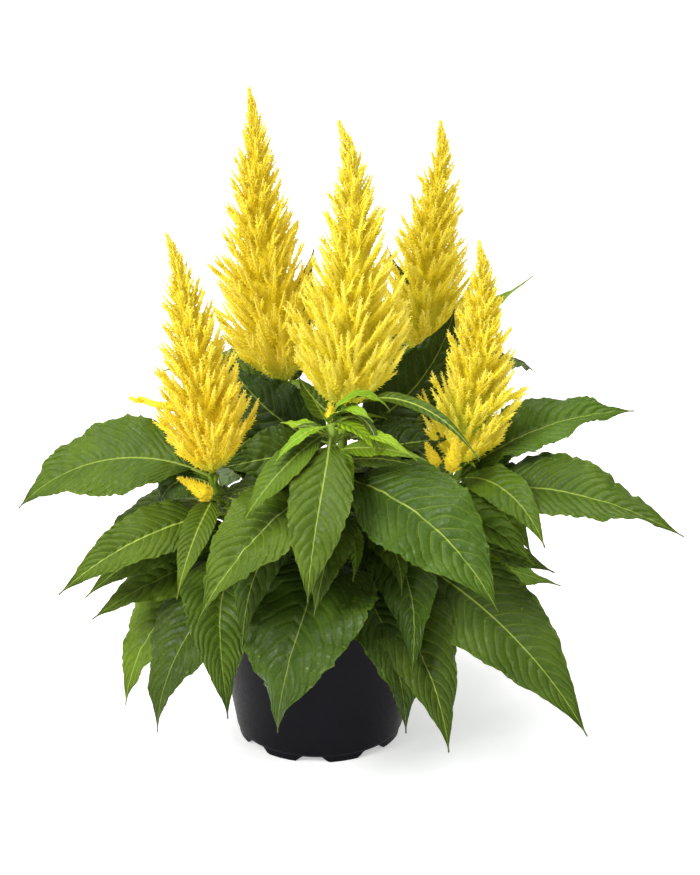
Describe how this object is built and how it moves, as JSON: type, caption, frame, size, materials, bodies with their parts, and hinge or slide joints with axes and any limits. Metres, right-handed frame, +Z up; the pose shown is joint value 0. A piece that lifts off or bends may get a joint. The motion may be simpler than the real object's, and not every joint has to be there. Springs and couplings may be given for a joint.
{
  "type": "plume celosia in a pot",
  "caption": "Bushy bedding plant with upright feathery yellow plumes and drooping pointed green leaves, in a round black plastic nursery pot.",
  "frame": {"origin": "centre of the pot's round foot, on the surface that the pot stands on", "axes": "+Z up along the pot's axis, -Y towards the front, where the largest leaves hang over the pot"},
  "size_m": [0.3918, 0.2984, 0.3891],
  "materials": {
    "pot_plastic": "satin black moulded plastic",
    "soil": "dark crumbly potting soil",
    "leaf_green": "satin green leaf with pale veins",
    "plume_yellow": "soft bright yellow florets"
  },
  "bodies": {
    "root": {"pot": "pot_plastic", "soil": "soil", "leafy_stem_left": "leaf_green", "leafy_stem_front": "leaf_green", "leafy_stem_centre": "leaf_green", "leafy_stem_right": "leaf_green", "leafy_stem_back_right": "leaf_green", "leafy_stem_back_left": "leaf_green", "plume_left": "plume_yellow", "plume_back_left": "plume_yellow", "plume_centre": "plume_yellow", "plume_back_right": "plume_yellow", "plume_right": "plume_yellow", "plume_front_bud": "plume_yellow", "plume_left_side": "plume_yellow", "plume_right_side": "plume_yellow", "plume_right_side_small": "plume_yellow"}
  },
  "joints": []
}
